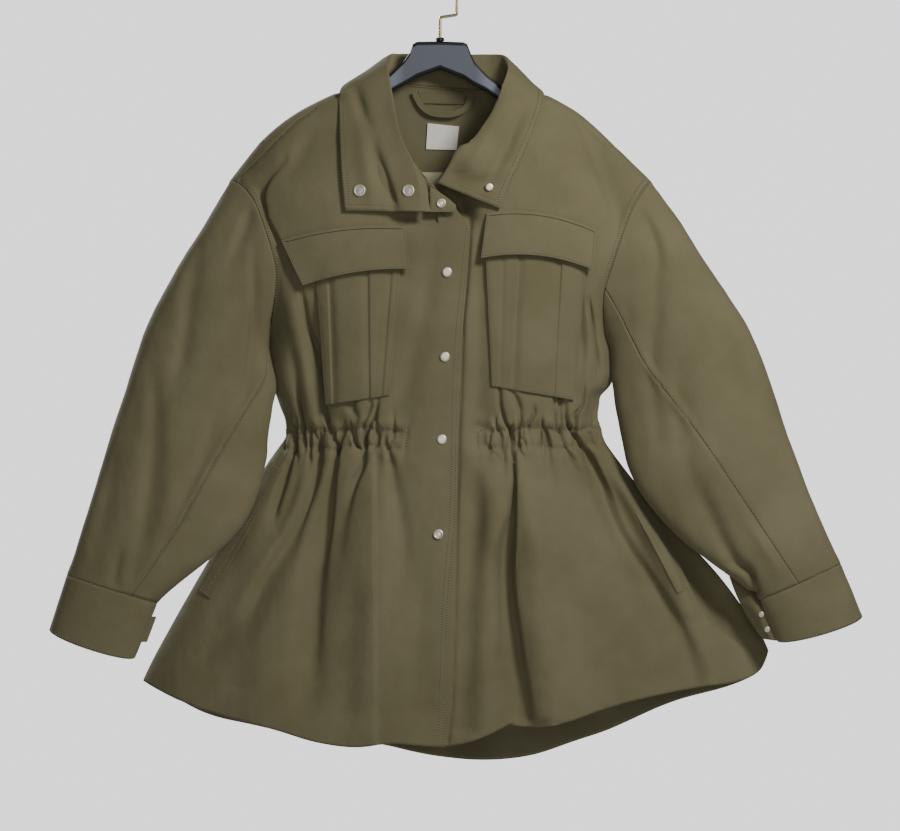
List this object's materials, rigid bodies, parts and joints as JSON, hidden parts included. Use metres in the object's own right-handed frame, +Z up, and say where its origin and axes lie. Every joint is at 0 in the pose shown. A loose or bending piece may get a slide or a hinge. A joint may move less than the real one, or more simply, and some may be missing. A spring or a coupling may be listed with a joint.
{
  "type": "short utility coat on a clothes hanger",
  "caption": "Short cotton utility coat with snap front, spread collar, chest flap pockets, elasticated waist and flared skirt, open at neck, hem and cuffs, on a flat hanger with a square hook.",
  "frame": {"origin": "underside of the hook's top bar, where a rail carries the hanger", "axes": "+Z up, the coat's front faces -Y, +X towards the wearer's left"},
  "size_m": [0.9732, 0.1759, 0.9538],
  "materials": {
    "shell_cloth": "washed cotton twill, matte, olive",
    "lining_cloth": "plain woven lining, pale olive",
    "label_tape": "woven tape, cream, unmarked",
    "snap_metal": "nickel-plated snap, satin",
    "hanger_plastic": "soft-touch coated plastic, slate",
    "ferrule_plastic": "moulded washer, black",
    "hook_metal": "champagne-plated steel rod, satin"
  },
  "bodies": {
    "root": {"front_r": "shell_cloth", "front_l": "shell_cloth", "back": "shell_cloth", "sleeve_upper_r": "shell_cloth", "sleeve_under_r": "shell_cloth", "sleeve_upper_l": "shell_cloth", "sleeve_under_l": "shell_cloth", "cuff_r": "shell_cloth", "cuff_l": "shell_cloth", "cuff_tab_r": "shell_cloth", "cuff_tab_l": "shell_cloth", "collar": "shell_cloth", "facing_corner_r": "shell_cloth", "pocket_r": "shell_cloth", "pocket_l": "shell_cloth", "flap_r": "shell_cloth", "flap_l": "shell_cloth", "welt_r": "shell_cloth", "welt_l": "shell_cloth", "loop_patch": "shell_cloth", "hang_loop": "shell_cloth", "back_lining": "lining_cloth", "label": "label_tape", "snap_collar_1": "snap_metal", "snap_collar_2": "snap_metal", "snap_lapel": "snap_metal", "snap_stud": "snap_metal", "snap_front_1": "snap_metal", "snap_front_2": "snap_metal", "snap_front_3": "snap_metal", "snap_front_4": "snap_metal", "snap_cuff_1": "snap_metal", "snap_cuff_2": "snap_metal", "hanger_body": "hanger_plastic", "hanger_ferrule": "ferrule_plastic", "hanger_hook": "hook_metal"}
  },
  "joints": []
}
